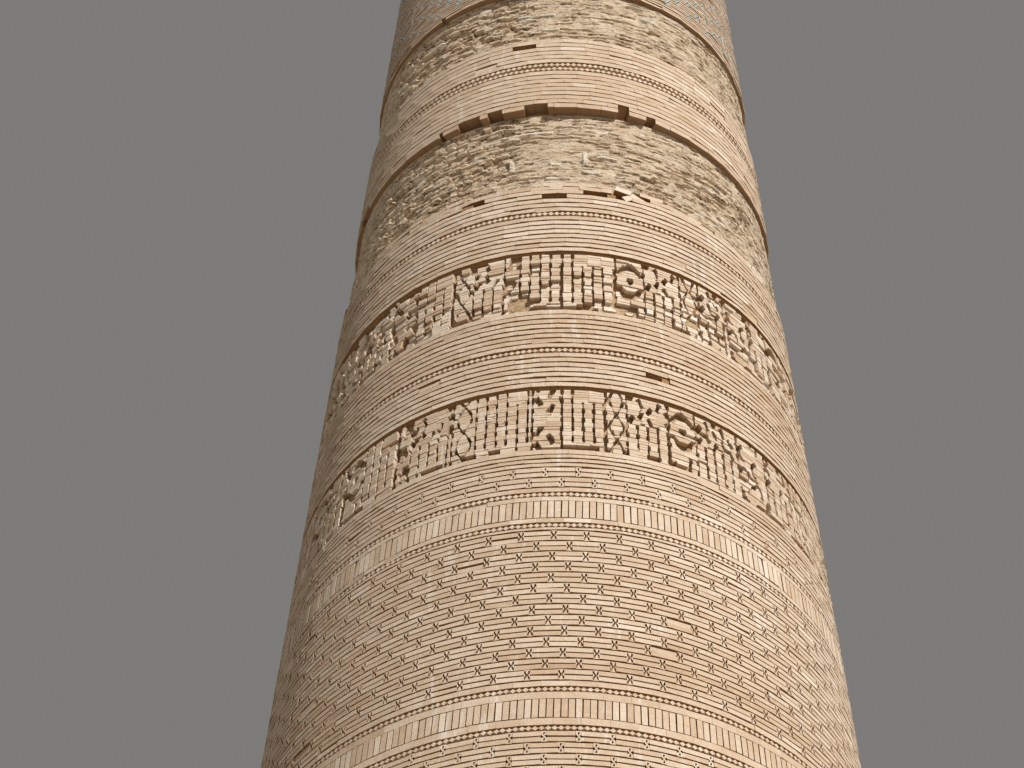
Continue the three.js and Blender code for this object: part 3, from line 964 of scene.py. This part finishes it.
def frieze(name, damage):
    """Cut bricks laid course by course over a recessed ground, above one plain course. Each half course
    samples the raised field round the tower, and each raised stretch becomes bricks, whose ends slope
    with the field's edge and swing in and out course by course. Slow noise breaks bricks back and drops
    some, more so where damage is high."""
    rng, low, high, heap = open_drum(name)
    height = high - low - RELIEF_TOP_GAP
    rows = 2 * FRIEZE_COURSES
    pitch = height / rows
    half = (pitch - FRIEZE_JOINT / 2) / 2
    radius = wall_radius((low + high) / 2)
    length = FULL_TURN * radius
    kinds, widths, edges = frieze_panels(rng, length, height)
    arc = np.linspace(0, length, 6001)

    def field(position, y):
        """The relief field of the panel at a position, cut by its borders and by pockets along its foot."""
        place = np.mod(position, length)
        panel = np.clip(np.searchsorted(edges, place, side="right") - 1, 0, len(kinds) - 1)
        x = place - edges[panel]
        border = np.minimum(x, widths[panel] - x) - RELIEF_GROOVE
        pocket = 0.008 * (hashed(np.floor(place / 0.06), 5) > 0.30)
        foot_pocket = np.maximum(np.abs(y - 3 * pitch) - 0.010, pocket)
        inside = relief_field(x, y, widths[panel], height, kinds[panel], panel)
        return np.minimum(np.minimum(inside, border), foot_pocket)

    lay_course(heap, rng, low + FRIEZE_JOINT / 2, low + 2 * pitch - FRIEZE_JOINT / 2)
    for row in range(2, rows):
        course = row // 2
        y = row * pitch + FRIEZE_JOINT / 2 * (row % 2 == 0) + half
        middle = low + y
        stretches = raised_stretches(field, arc, y)
        left, right, left_lean, right_lean, first, last = split_stretches(*stretches, half)
        corners = [left - left_lean, right - right_lean, right + right_lean, left + left_lean]
        cell = np.floor((left + right) / 0.09)
        swing = 0.0030 * (course % 2) + 0.0040 * hashed(cell, course, 31) - 0.0035
        angles = np.stack(corners, axis=1) / radius
        angles += np.stack([swing * first, -swing * last, -swing * last, swing * first], axis=1)
        levels = middle + np.tile([-half, -half, half, half], (len(left), 1)) + sag(angles, middle)
        wear = 0.55 * smooth_noise(angles.mean(axis=1), middle, 50, 9, 3) + 0.45 * hashed(cell, course, 32)
        broken = wear > 0.88 - damage
        set_back = 0.004 * hashed(cell, course, 33) + broken * (0.003 + 0.019 * hashed(cell, course, 34))
        face = worn_face(rng, len(left), 0.0008 + 0.002 * damage) - set_back[:, None]
        spread = (0.26 + 0.5 * damage) * (hashed(cell, course, 35) - 0.5)
        tone = np.clip(0.5 + 0.12 * damage + spread + 0.12 * broken, 0, 1)
        keep = wear < 1.02 - damage * 0.7
        lay_blocks(heap, angles[keep], levels[keep], face[keep], CUT_DEPTH, tone[keep], RELIEF_SIDE_SHADE)
    heap.piece(name + "_bricks", BRICK, "carved_brick")
    mortar_shell(name, RECESS, depth=RELIEF_DEPTH)


def in_oblongs(facing, height, places):
    """Where a point lies in one of the oblongs (angle, level, half width, half height)."""
    inside = np.zeros(facing.shape, dtype=bool)
    for angle, level, half_width, half_height in places:
        inside |= (np.abs(facing - angle) < half_width) & (np.abs(height - level) < half_height)
    return inside


def warped_courses(turn, height, radius):
    """Courses of the core, which noise bends up and down. Gives each point's course number, its place up
    the course, the number of its brick and its place along the brick. Each course has bricks of one
    chance length, whose ends noise moves along."""
    drift = 0.5 * smooth_noise(turn, height, 24, 2, 5) + 0.45 * smooth_noise(turn, height, 110, 12, 14)
    up = height / CORE_COURSE + drift
    course = np.floor(up)
    bricks = np.round(FULL_TURN * radius / (CORE_SHORTEST + CORE_LONGER * hashed(course, 4)))
    along = turn / FULL_TURN * bricks + 0.5 * smooth_noise(turn, height, 150, 60, 15)
    return course, up - course, np.mod(np.floor(along), bricks), along - np.floor(along)


def bareness(turn, facing, height):
    """How far the core's bricks show, from 0 to 1: slow noise, plus a bell to the left of the seen side
    and less one to the right."""
    bias = 0.9 * np.exp(-((facing + 0.80) / 0.40) ** 2) - 0.4 * np.exp(-((facing - 0.50) / 0.30) ** 2)
    return np.clip(3.2 * (smooth_noise(turn, height, 15, 2.2, 6) - 0.46) + bias, 0, 1)


def rubble_core(name, depth, columns, slabs, holes):
    """The core where the facing has fallen: courses of rough brick buried in mortar. Slow noise swells
    the face. Where bricks show, each stands in or out by its own amount. Courses crack along their beds,
    and fine noise roughens the whole. The face lies deepest in the middle of the seen side, where its
    points also stand closest. slabs and holes (angle, level, half width, half height) are single pale
    bricks and single gaps."""
    low, high = level_range(name)
    rows = round((high - low) / CORE_ROW)
    even = (np.arange(columns) / columns) * FULL_TURN
    angle = even - 0.38 * np.sin(even)
    level = np.linspace(low, high, rows)
    turn, height = np.meshgrid(angle, level)
    facing = np.mod(turn + math.pi, FULL_TURN) - math.pi
    radius = wall_radius((low + high) / 2)
    course, up, brick, along = warped_courses(turn, height, radius)
    bare = bareness(turn, facing, height)
    swell = 0.014 * (smooth_noise(turn, height, 11, 3.0, 7) - 0.5)
    grain = 0.0070 * (smooth_noise(turn, height, 330, 80, 8) - 0.5)
    lumps = 0.0060 * (smooth_noise(turn, height, 130, 60, 12) - 0.5)
    standing = 0.026 * (hashed(brick, course, 1) - 0.6) * (0.18 + 0.82 * bare)
    crack = ((up < 0.30) & (hashed(brick, course, 2) < 0.42 + 0.32 * bare)) * (0.010 + 0.012 * bare)
    upright = ((along < 0.10) & (bare > 0.4)) * 0.007
    fallen = ((hashed(brick, course, 13) < 0.045) & (bare > 0.3)) * 0.024
    slab = in_oblongs(facing, height, slabs)
    standing = np.where(slab, SLAB_STANDS, standing)
    crack = np.where(slab, 0.0, crack)
    fallen = np.where(in_oblongs(facing, height, holes), HOLE_DEPTH, fallen)
    out = swell + grain + lumps + standing - crack - upright - fallen
    # Painted light and shade: tone rises with grain, lumps and bricks that stand out, and falls in cracks
    # and fallen holes; the random tone of each brick is added on top
    tone = 0.74 + 9 * grain + 6 * lumps + 4 * standing - 12 * (crack + fallen)
    tone = tone + 0.22 * (hashed(brick, course, 3) - 0.5)
    pale = (hashed(brick, course, 11) > 0.985) | slab
    tone = np.where(pale & (up > 0.25), PALE, tone)
    fade = np.clip(np.minimum(height - low, high - height) / 0.02, 0, 1)
    full = 0.45 + 0.55 * np.exp(-(((facing + 0.08) / 0.62) ** 2))
    outer = wall_radius(height) - depth * full + out * fade
    tones = with_void(np.clip(tone, 0, PALE), 0.4, 0.4, columns)
    heap = Heap()
    hollow_shell(heap, angle, level, outer, tones, 0 * tones)
    heap.piece(name + "_face", RUBBLE, "rubble", name)


def ground_wall(*nodes):
    """The ground-floor wall as one ring, open at the doorway. Each level's ring runs from one side of the
    doorway round to the other: the doorway's half width over the radius is the sine of its edge angle.
    The width is constant up to the spring, then follows two arcs that meet in a point."""
    low, _ = level_range("wall_front_left")
    _, high = level_range("door_arch")
    columns = WALL_COLUMNS
    levels, depths, painted_shades, numbers = coursed_rows(low, high)
    rise = np.clip(levels - DOOR_SPRING, 0, DOOR_HEAD_RADIUS)
    arch = np.sqrt(DOOR_HEAD_RADIUS ** 2 - rise ** 2) - (DOOR_HEAD_RADIUS - DOOR_HALF_WIDTH)
    half_width = np.clip(arch, 0.0, DOOR_HALF_WIDTH)
    share = np.linspace(0, 1, columns)
    points = []
    for radius in (wall_radius(levels) - 0.003 - depths * 0.7, void_radius(levels)):
        edge = np.arcsin(half_width / radius)[:, None]
        angle = edge + share[None] * (FULL_TURN - 2 * edge)
        ring = [np.broadcast_to(value[:, None], angle.shape) for value in (radius, levels)]
        points.append(on_ring(angle, *ring).reshape(-1, 3))
    rows = len(levels)
    inside = rows * columns
    place = np.arange(rows - 1)[:, None] * columns + np.arange(columns - 1)[None]
    front = np.stack([place, place + 1, place + columns + 1, place + columns], axis=-1).reshape(-1, 4)
    back = front[:, ::-1] + inside
    side = np.arange(columns - 1)
    bottom = np.stack([side, side + inside, side + inside + 1, side + 1], axis=-1)
    top = bottom[:, ::-1] + (rows - 1) * columns
    climb = np.arange(rows - 1) * columns
    last = climb + columns - 1
    first_jamb = np.stack([climb, climb + columns, climb + columns + inside, climb + inside], axis=-1)
    last_jamb = np.stack([last, last + inside, last + columns + inside, last + columns], axis=-1)
    heap = Heap()
    heap.add(
        np.concatenate(points), [front, back, bottom, top, first_jamb, last_jamb],
        np.tile(np.repeat(numbers, columns), 2), np.append(np.repeat(painted_shades, columns), np.zeros(inside)),
    )
    heap.piece("ground_wall", COURSED, "brick", *nodes)


def door_surround():
    """Bricks on edge round the door head. Each arc's centre lies beyond the middle of the doorway, and a
    brick spans an equal share of the arc, from the opening's edge to a soldier's height beyond it."""
    offset = DOOR_HEAD_RADIUS - DOOR_HALF_WIDTH
    sweep = math.acos(offset / DOOR_HEAD_RADIUS)
    count = round(DOOR_HEAD_RADIUS * sweep / SOLDIER_PITCH)
    gap = SOLDIER_JOINT / 2 / DOOR_HEAD_RADIUS
    low_turn = np.arange(count) * sweep / count + gap
    high_turn = low_turn + sweep / count - 2 * gap
    turns = np.stack([low_turn, low_turn, high_turn, high_turn], axis=1)
    reach = DOOR_HEAD_RADIUS + np.tile([0, SOLDIER_HEIGHT, SOLDIER_HEIGHT, 0], (count, 1))
    x = np.maximum(reach * np.cos(turns) - offset, SOLDIER_JOINT / 2)
    levels = DOOR_SPRING + reach * np.sin(turns)
    rng = chance("door_surround")
    heap = Heap()
    for side in (1, -1):
        angles = np.arcsin(side * x / wall_radius(levels))[:, ::side]
        face = worn_face(rng, count)
        lay_blocks(heap, angles, levels[:, ::side], face, BRICK_DEPTH, brick_tone(rng, count))
    heap.piece("door_surround", BRICK, "brick")


class Shading:
    """A material's node tree, built by short calls that return output sockets."""

    def __init__(self, name):
        self.material = bpy.data.materials.new(name)
        self.material.use_nodes = True
        self.tree = self.material.node_tree
        self.surface = self.tree.nodes["Principled BSDF"]

    def node(self, kind, inputs=(), **settings):
        """Adds a node, sets its properties, and links or sets the inputs given as (socket, value) pairs."""
        made = self.tree.nodes.new("ShaderNode" + kind)
        for key, value in settings.items():
            setattr(made, key, value)
        for socket, value in inputs:
            self.feed(made.inputs[socket], value)
        return made

    def feed(self, socket, value):
        """Links a socket, or sets it to a number or colour."""
        if isinstance(value, bpy.types.NodeSocket):
            self.tree.links.new(value, socket)
        elif isinstance(value, tuple) and socket.type == "RGBA":
            socket.default_value = (*value, 1)
        else:
            socket.default_value = value

    def math(self, operation, first, second=0.0):
        """One Math node."""
        return self.node("Math", [(0, first), (1, second)], operation=operation).outputs[0]

    def attribute(self, name):
        """A value kept on the mesh's points."""
        return self.node("Attribute", attribute_name=name).outputs["Fac"]

    def place(self):
        """The piece's own object coordinates."""
        return self.node("TexCoord").outputs["Object"]

    def noise(self, scale, detail=4.0, stretch=(1, 1, 1), roughness=0.6):
        """Noise on object coordinates, stretched along the axes."""
        vector = self.node("Mapping", [("Vector", self.place()), ("Scale", stretch)]).outputs[0]
        inputs = [("Vector", vector), ("Scale", scale), ("Detail", detail), ("Roughness", roughness)]
        return self.node("TexNoise", inputs).outputs["Fac"]

    def sway(self, value, amount):
        """A value from 0 to 1 moved to either side of 0, times amount."""
        return self.math("MULTIPLY", self.math("SUBTRACT", value, 0.5), amount)

    def angle(self, x, y):
        """The angle round the tower."""
        return self.math("ARCTAN2", x, self.math("MULTIPLY", y, -1.0))

    def chosen(self, number):
        """A random value from 0 to 1 for a whole number."""
        return self.node("TexWhiteNoise", [("W", number)], noise_dimensions="1D").outputs["Value"]

    def gap(self, place, low, high):
        """1 where place is near a whole number. Half less the distance to it goes from low to high."""
        beside = self.math("SUBTRACT", self.math("FRACT", place), 0.5)
        return self.band(self.math("ABSOLUTE", beside), low, high)

    def ramp(self, factor, stops):
        """A colour ramp through (place, colour) stops."""
        made = self.node("ValToRGB", [("Fac", factor)])
        ramp = made.color_ramp
        while len(ramp.elements) < len(stops):
            ramp.elements.new(0.5)
        for element, (place, colour) in zip(ramp.elements, stops):
            element.position = place
            element.color = (*colour, 1)
        return made.outputs["Color"]

    def mix(self, factor, first, second):
        """A colour mix."""
        made = self.node("Mix", data_type="RGBA")
        self.feed(made.inputs[0], factor)
        self.feed(made.inputs[6], first)
        self.feed(made.inputs[7], second)
        return made.outputs[2]

    def band(self, value, low, high):
        """0 at low, 1 at high, and smooth between."""
        inputs = [("Value", value), ("From Min", low), ("From Max", high)]
        return self.node("MapRange", inputs, interpolation_type="SMOOTHSTEP").outputs[0]

    def finish(self, colour, height, roughness=0.92, bump=0.5, distance=0.004):
        """Links colour and bump to the surface."""
        self.tree.links.new(colour, self.surface.inputs["Base Color"])
        self.surface.inputs["Roughness"].default_value = roughness
        self.surface.inputs["Specular IOR Level"].default_value = 0.2
        lumps = self.node("Bump", [("Height", height), ("Strength", bump), ("Distance", distance)])
        self.tree.links.new(lumps.outputs[0], self.surface.inputs["Normal"])
        return self.material


# Colours, with the stops of ramps as (place, colour)
CREAM = (0.740, 0.636, 0.518)
TAN = (0.580, 0.456, 0.336)
ROSE = (0.50, 0.355, 0.235)
UMBER = (0.33, 0.225, 0.140)
LIME = (0.80, 0.76, 0.69)
JOINT_SHADE = (0.27, 0.150, 0.062)
GROOVE_EARTH = (0.58, 0.37, 0.22)
SOOT = (0.30, 0.22, 0.15)
BOARD_GAP_SHADE = (0.03, 0.022, 0.016)
TURQUOISE = (0.20, 0.34, 0.36)
WORN_GLAZE = (0.52, 0.46, 0.38)
EDGE_SHADE = (0.28, 0.170, 0.090)
OLD_ROSE = (0.42, 0.265, 0.175)
# The bed mortar's own colours darkened by painted shade, as it lies deep in the joints
MORTAR_STOPS = ((0.3, (0.23, 0.130, 0.057)), (0.55, (0.33, 0.200, 0.100)), (0.8, (0.46, 0.30, 0.165)))
RECESS_STOPS = ((0.3, (0.25, 0.165, 0.092)), (0.52, (0.41, 0.285, 0.170)), (0.8, (0.60, 0.46, 0.31)))
RUBBLE_STOPS = (
    (0.0, (0.15, 0.090, 0.050)), (0.20, (0.37, 0.255, 0.157)), (0.42, (0.57, 0.425, 0.282)),
    (0.72, (0.72, 0.565, 0.400)), (1.0, (0.85, 0.76, 0.62)),
)
STONE_STOPS = ((0.2, (0.28, 0.25, 0.205)), (0.5, (0.45, 0.41, 0.345)), (0.85, (0.60, 0.56, 0.49)))
TIMBER_STOPS = ((0.2, (0.10, 0.075, 0.052)), (0.55, (0.21, 0.165, 0.12)), (0.85, (0.33, 0.28, 0.22)))

# Speckle and clouds on fired brick: scale, detail, how flat they lie, and how much they change its tone
BRICK_CLOUDS = ((75, 5, 1, 0.52), (190, 3, 1, 0.42), (12, 4, 2.5, 0.28), (1.3, 4, 1, 0.36))


def weathered(s, tone, joint_and_shade, rose=0.0, deep=JOINT_SHADE):
    """Fired brick by tone, with speckle, clouds, faint upright streaks of lime, and the deep colour mixed
    in
    over joints: painted shade on bricks' sides deep in a joint, and dark drawn joint lines.
    """
    for scale, detail, flatness, amount in BRICK_CLOUDS:
        tone = s.math("ADD", tone, s.sway(s.noise(scale, detail, (1, 1, flatness)), amount))
    colour = s.ramp(tone, [(0.0, UMBER), (0.30, ROSE), (0.52, TAN), (0.80, CREAM), (1.0, LIME)])
    if rose:
        colour = s.mix(rose, colour, OLD_ROSE)
    streak = s.band(s.noise(26, 4, (1, 1, 0.12), 0.65), 0.54, 0.68)
    streak = s.math("MULTIPLY", streak, s.band(s.noise(1.8, 4), 0.46, 0.60))
    colour = s.mix(s.math("MULTIPLY", streak, 0.45), colour, LIME)
    soot = s.band(s.noise(1.1, 5, (1, 1, 0.5), 0.65), 0.58, 0.75)
    colour = s.mix(s.math("MULTIPLY", soot, 0.22), colour, SOOT)
    # Painted shade: the deep colour over bricks' sides deep in joints, and over drawn joint lines
    return s.mix(joint_and_shade, colour, deep)


def fired_brick(name, rose=0.0, deep=JOINT_SHADE):
    """Brick laid as real pieces: its tone is kept on the mesh, and its sides darken to the deep colour with
    their depth behind the face, a painted shade.
    """
    s = Shading(name)
    # Painted shade on the bricks' sides, full a short way behind the face
    joint_and_shade = s.band(s.attribute("painted_shade"), 0.0, 0.05)
    colour = weathered(s, s.attribute("tone"), joint_and_shade, rose, deep)
    return s.finish(colour, s.noise(150, 6), bump=0.7)


def coursed_brick(name, painted_joints=False):
    """Brick on a surface without real bricks. The angle round the tower over the brick's pitch gives its
    column, the course gives its row, and white noise on both gives its tone. The course is kept on the
    mesh, or comes from the level where the joints are painted too."""
    s = Shading(name)
    x, y, z = s.node("SeparateXYZ", [(0, s.place())]).outputs
    if painted_joints:
        row_place = s.math("DIVIDE", z, COURSE)
        row = s.math("FLOOR", row_place)
    else:
        row = s.math("ROUND", s.attribute("tone"))
    radius = s.math("SUBTRACT", BASE_RADIUS, s.math("MULTIPLY", row, TAPER * COURSE))
    count = s.math("ROUND", s.math("MULTIPLY", radius, FULL_TURN / BRICK_PITCH))
    place = s.math("MULTIPLY", s.math("DIVIDE", s.angle(x, y), FULL_TURN), count)
    turns = s.math("ADD", place, s.chosen(row))
    cell = s.node("CombineXYZ", [(0, s.math("FLOOR", turns)), (1, row)]).outputs[0]
    chosen = s.node("TexWhiteNoise", [("Vector", cell)], noise_dimensions="2D").outputs["Value"]
    tone = s.math("ADD", 0.5, s.sway(chosen, 0.22))
    head = s.gap(turns, 0.485, 0.493)
    grain = s.noise(150, 6)
    if painted_joints:
        joint_and_shade = s.math("MAXIMUM", head, s.gap(row_place, 0.385, 0.415))
        height = s.math("SUBTRACT", s.math("MULTIPLY", grain, 0.3), joint_and_shade)
        return s.finish(weathered(s, tone, joint_and_shade), height, bump=0.9, distance=0.006)
    # Faint dark head-joint lines, and painted shade deep in the bed-joint grooves
    joint_and_shade = s.math("MAXIMUM", s.math("MULTIPLY", head, 0.35), s.band(s.attribute("painted_shade"), 0.15, 0.75))
    return s.finish(weathered(s, tone, joint_and_shade), grain, bump=0.4)


def rough_ground(name, scale, detail, stops, bump, distance):
    """Mortar or rough brick between or behind the bricks: three earthy colours by noise, and a lighter
    one in the grooves, where tone is 1."""
    s = Shading(name)
    grain = s.noise(scale, detail)
    colour = s.mix(s.attribute("tone"), s.ramp(grain, stops), GROOVE_EARTH)
    return s.finish(colour, grain, 0.97, bump, distance)


def broken_rubble():
    """Broken brick and mortar of the core: tan, layered by noise that is flattened into beds, dark along
    the thin cracks where a second flattened noise crosses its middle, a painted shade, and pale on the
    odd brick."""
    s = Shading("broken_rubble")
    layered = s.noise(24, 9, (1, 1, 4.5), 0.70)
    flakes = s.noise(130, 5, (1, 1, 3.0), 0.80)
    crossing = s.math("ABSOLUTE", s.math("SUBTRACT", s.noise(9, 3.5, (1, 1, 6), 0.62), 0.5))
    # Painted shade of the thin cracks
    crack = s.math("SUBTRACT", 1.0, s.band(crossing, 0.006, 0.020))
    crack = s.math("MULTIPLY", crack, s.band(s.noise(13, 3), 0.34, 0.46))
    mixed = s.math("ADD", s.attribute("tone"), s.sway(layered, 0.60))
    mixed = s.math("ADD", mixed, s.sway(flakes, 0.85))
    mixed = s.math("SUBTRACT", mixed, s.math("MULTIPLY", crack, 0.70))
    colour = s.ramp(mixed, RUBBLE_STOPS)
    lumps = s.math("ADD", layered, s.math("MULTIPLY", flakes, 0.45))
    lumps = s.math("SUBTRACT", lumps, s.math("MULTIPLY", crack, 0.40))
    return s.finish(colour, lumps, 0.98, 1.0, 0.013)


def turquoise_glaze():
    """Glazed brick: turquoise, shiny, patchy where the glaze has worn off, with painted shade on the
    pieces' sides.
    """
    s = Shading("turquoise_glaze")
    patch = s.band(s.noise(60, 5), 0.36, 0.56)
    colour = s.mix(patch, TURQUOISE, WORN_GLAZE)
    # Painted shade on the sides of the glazed pieces
    colour = s.mix(s.band(s.attribute("painted_shade"), 0.02, 0.25), colour, JOINT_SHADE)
    return s.finish(colour, s.noise(120, 4), 0.30, 0.2, 0.002)


def dressed_stone():
    """Blocks of pale limestone side by side: the angle round the tower gives each block's number."""
    s = Shading("dressed_stone")
    x, y, _ = s.node("SeparateXYZ", [(0, s.place())]).outputs
    turns = s.math("MULTIPLY", s.angle(x, y), PLINTH_BLOCKS / FULL_TURN)
    joint_and_shade = s.gap(turns, 0.485, 0.495)
    grain = s.noise(24, 8)
    mixed = s.math("ADD", grain, s.sway(s.chosen(s.math("FLOOR", turns)), 0.35))
    colour = s.mix(joint_and_shade, s.ramp(mixed, STONE_STOPS), JOINT_SHADE)
    height = s.math("SUBTRACT", s.math("MULTIPLY", grain, 0.4), joint_and_shade)
    return s.finish(colour, height, 0.9, 0.8, 0.008)


def deck_timber():
    """Weathered boards, with grain along the board."""
    s = Shading("deck_timber")
    boards = s.math("DIVIDE", s.node("SeparateXYZ", [(0, s.place())]).outputs[0], BOARD_WIDTH)
    gap = s.gap(boards, 0.45, 0.49)
    grain = s.noise(30, 8, (1, 0.06, 1))
    mixed = s.math("ADD", grain, s.sway(s.chosen(s.math("FLOOR", boards)), 0.4))
    colour = s.mix(gap, s.ramp(mixed, TIMBER_STOPS), BOARD_GAP_SHADE)
    return s.finish(colour, s.math("SUBTRACT", s.math("MULTIPLY", grain, 0.5), gap), 0.85, 0.7, 0.006)


place_camera()
light_scene()
lay_floor()

BRICK = fired_brick("fired_brick")
ROSE_BRICK = fired_brick("rose_brick", 0.14)
# The undersides of the broken courses darken to a painted shade of their own, browner than other joints
EDGE_BRICK = fired_brick("edge_brick", 0.1, EDGE_SHADE)
COURSED = coursed_brick("coursed_brick")
PAINTED = coursed_brick("jointed_brick", painted_joints=True)
MORTAR = rough_ground("bed_mortar", 90, 5, MORTAR_STOPS, 0.6, 0.004)
RECESS = rough_ground("recess_brick", 40, 8, RECESS_STOPS, 0.8, 0.008)
RUBBLE = broken_rubble()
GLAZE = turquoise_glaze()
STONE = dressed_stone()
TIMBER = deck_timber()

ground_wall(
    "wall_front_left", "wall_front_right", "wall_back_left", "wall_back_right",
    "door_arch", "upper_wall_left", "upper_wall_right",
)
door_surround()
for number in (1, 2, 3, 4):
    lower_drum(f"shaft_drum_{number}", 5, SMALL_PLUG)
    soldier_band(f"shaft_band_{number}")
lower_drum("shaft_drum_5", 12, S_PLUG)
soldier_band("soldier_band_low")
diaper_drum()
soldier_band("soldier_band_high")
plug_courses()
frieze("frieze_low", 0.08)
plain_drum_low()
frieze("frieze_high", 0.30)
plain_drum_high()
rubble_core(
    "rubble_core_low", LOW_CORE_DEPTH, 560,
    slabs=[
        (0.130, 21.625, 0.042, 0.014), (0.104, 21.752, 0.010, 0.055), (0.210, 21.770, 0.050, 0.013),
        (-0.170, 21.990, 0.125, 0.013), (-0.240, 21.700, 0.014, 0.040), (-0.020, 21.555, 0.060, 0.013),
    ],
    holes=[(0.420, 21.655, 0.020, 0.012), (-0.330, 21.820, 0.030, 0.010)],
)
toothed_drum()
rubble_core(
    "rubble_core_high", HIGH_CORE_DEPTH, 520,
    slabs=[(-0.066, 23.000, 0.045, 0.010), (-0.143, 23.150, 0.100, 0.010), (0.470, 23.220, 0.040, 0.012)],
    holes=[(-0.470, 23.130, 0.030, 0.012), (0.505, 23.125, 0.030, 0.012)],
)
tile_inlay_drum()
coursed_shell("upper_shaft_drum")
soldier_band("soldier_band_top")

# Solids that are seen as they are
plain_solids = {"plinth": STONE, "gallery_deck": TIMBER}
for node in ("shaft_neck", "corbel_cornice", "lantern_arches", "lantern_dome"):
    plain_solids[node] = PAINTED
for number in (1, 2, 3, 4):
    plain_solids[f"lantern_pier_{number}"] = PAINTED
for node, material in plain_solids.items():
    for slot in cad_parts[node].material_slots:
        slot.material = material
